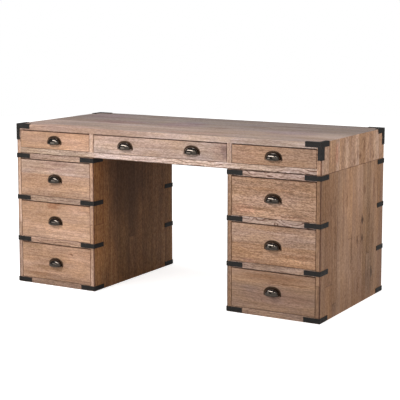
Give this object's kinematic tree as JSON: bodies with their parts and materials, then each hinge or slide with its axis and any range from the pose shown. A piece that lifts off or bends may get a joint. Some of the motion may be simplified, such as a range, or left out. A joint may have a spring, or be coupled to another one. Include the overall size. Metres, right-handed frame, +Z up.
{
  "type": "campaign desk",
  "caption": "Wooden campaign desk: a top case with shallow drawers on two drawer pedestals either side of an open kneehole, with black corner straps and cup pulls.",
  "frame": {"origin": "on the floor under the middle of the desk's overall box", "axes": "+X to the desk's right seen from the front, -Y to the front, +Z up"},
  "size_m": [1.605, 0.7243, 0.7725],
  "materials": {
    "oak_top": "waxed, greyish weathered oak",
    "oak_side": "waxed weathered oak, upright grain",
    "oak_drawer_front": "waxed weathered oak, level grain",
    "oak_rail": "waxed weathered oak, level grain",
    "inner_wood": "plain planed wood",
    "black_steel": "blackened, satin",
    "dark_bronze": "dark bronze, polished",
    "bolt_steel": "zinc plated"
  },
  "bodies": {
    "carcass": {"desktop": "oak_top", "frieze_rail": "oak_rail", "frieze_back": "oak_side", "frieze_bottom_board": "inner_wood", "frieze_runners": "inner_wood", "frieze_left_side": "oak_side", "frieze_right_side": "oak_side", "frieze_left_partition": "oak_side", "frieze_right_partition": "oak_side", "left_pedestal_outer_side": "oak_side", "left_pedestal_inner_side": "oak_side", "left_pedestal_back": "oak_side", "left_pedestal_top_board": "inner_wood", "left_pedestal_bottom_board": "inner_wood", "left_pedestal_rails": "oak_rail", "left_pedestal_runners": "inner_wood", "left_pedestal_straps": "black_steel", "right_pedestal_outer_side": "oak_side", "right_pedestal_inner_side": "oak_side", "right_pedestal_back": "oak_side", "right_pedestal_top_board": "inner_wood", "right_pedestal_bottom_board": "inner_wood", "right_pedestal_rails": "oak_rail", "right_pedestal_runners": "inner_wood", "right_pedestal_straps": "black_steel", "front_left_bracket": "black_steel", "front_right_bracket": "black_steel", "rear_left_bracket": "black_steel", "rear_right_bracket": "black_steel", "connecting_bolts": "bolt_steel", "drawer_stops": "inner_wood"},
    "frieze_left_drawer": {"frieze_left_drawer_front": "oak_drawer_front", "frieze_left_drawer_box": "inner_wood", "frieze_left_drawer_pull": "dark_bronze"},
    "frieze_middle_drawer": {"frieze_middle_drawer_front": "oak_drawer_front", "frieze_middle_drawer_box": "inner_wood", "frieze_middle_drawer_pull": "dark_bronze"},
    "frieze_right_drawer": {"frieze_right_drawer_front": "oak_drawer_front", "frieze_right_drawer_box": "inner_wood", "frieze_right_drawer_pull": "dark_bronze"},
    "left_bottom_drawer": {"left_bottom_drawer_front": "oak_drawer_front", "left_bottom_drawer_box": "inner_wood", "left_bottom_drawer_pull": "dark_bronze"},
    "left_middle_drawer": {"left_middle_drawer_front": "oak_drawer_front", "left_middle_drawer_box": "inner_wood", "left_middle_drawer_pull": "dark_bronze"},
    "left_top_drawer": {"left_top_drawer_front": "oak_drawer_front", "left_top_drawer_box": "inner_wood", "left_top_drawer_pull": "dark_bronze"},
    "right_bottom_drawer": {"right_bottom_drawer_front": "oak_drawer_front", "right_bottom_drawer_box": "inner_wood", "right_bottom_drawer_pull": "dark_bronze"},
    "right_middle_drawer": {"right_middle_drawer_front": "oak_drawer_front", "right_middle_drawer_box": "inner_wood", "right_middle_drawer_pull": "dark_bronze"},
    "right_top_drawer": {"right_top_drawer_front": "oak_drawer_front", "right_top_drawer_box": "inner_wood", "right_top_drawer_pull": "dark_bronze"}
  },
  "joints": [
    {"name": "frieze_left_drawer_slide", "type": "slide", "parent": "carcass", "child": "frieze_left_drawer", "axis": [0, -1, 0], "range_m": [0, 0.45]},
    {"name": "frieze_middle_drawer_slide", "type": "slide", "parent": "carcass", "child": "frieze_middle_drawer", "axis": [0, -1, 0], "range_m": [0, 0.45]},
    {"name": "frieze_right_drawer_slide", "type": "slide", "parent": "carcass", "child": "frieze_right_drawer", "axis": [0, -1, 0], "range_m": [0, 0.45]},
    {"name": "left_bottom_drawer_slide", "type": "slide", "parent": "carcass", "child": "left_bottom_drawer", "axis": [0, -1, 0], "range_m": [0, 0.45]},
    {"name": "left_middle_drawer_slide", "type": "slide", "parent": "carcass", "child": "left_middle_drawer", "axis": [0, -1, 0], "range_m": [0, 0.45]},
    {"name": "left_top_drawer_slide", "type": "slide", "parent": "carcass", "child": "left_top_drawer", "axis": [0, -1, 0], "range_m": [0, 0.45]},
    {"name": "right_bottom_drawer_slide", "type": "slide", "parent": "carcass", "child": "right_bottom_drawer", "axis": [0, -1, 0], "range_m": [0, 0.45]},
    {"name": "right_middle_drawer_slide", "type": "slide", "parent": "carcass", "child": "right_middle_drawer", "axis": [0, -1, 0], "range_m": [0, 0.45]},
    {"name": "right_top_drawer_slide", "type": "slide", "parent": "carcass", "child": "right_top_drawer", "axis": [0, -1, 0], "range_m": [0, 0.45]}
  ]
}
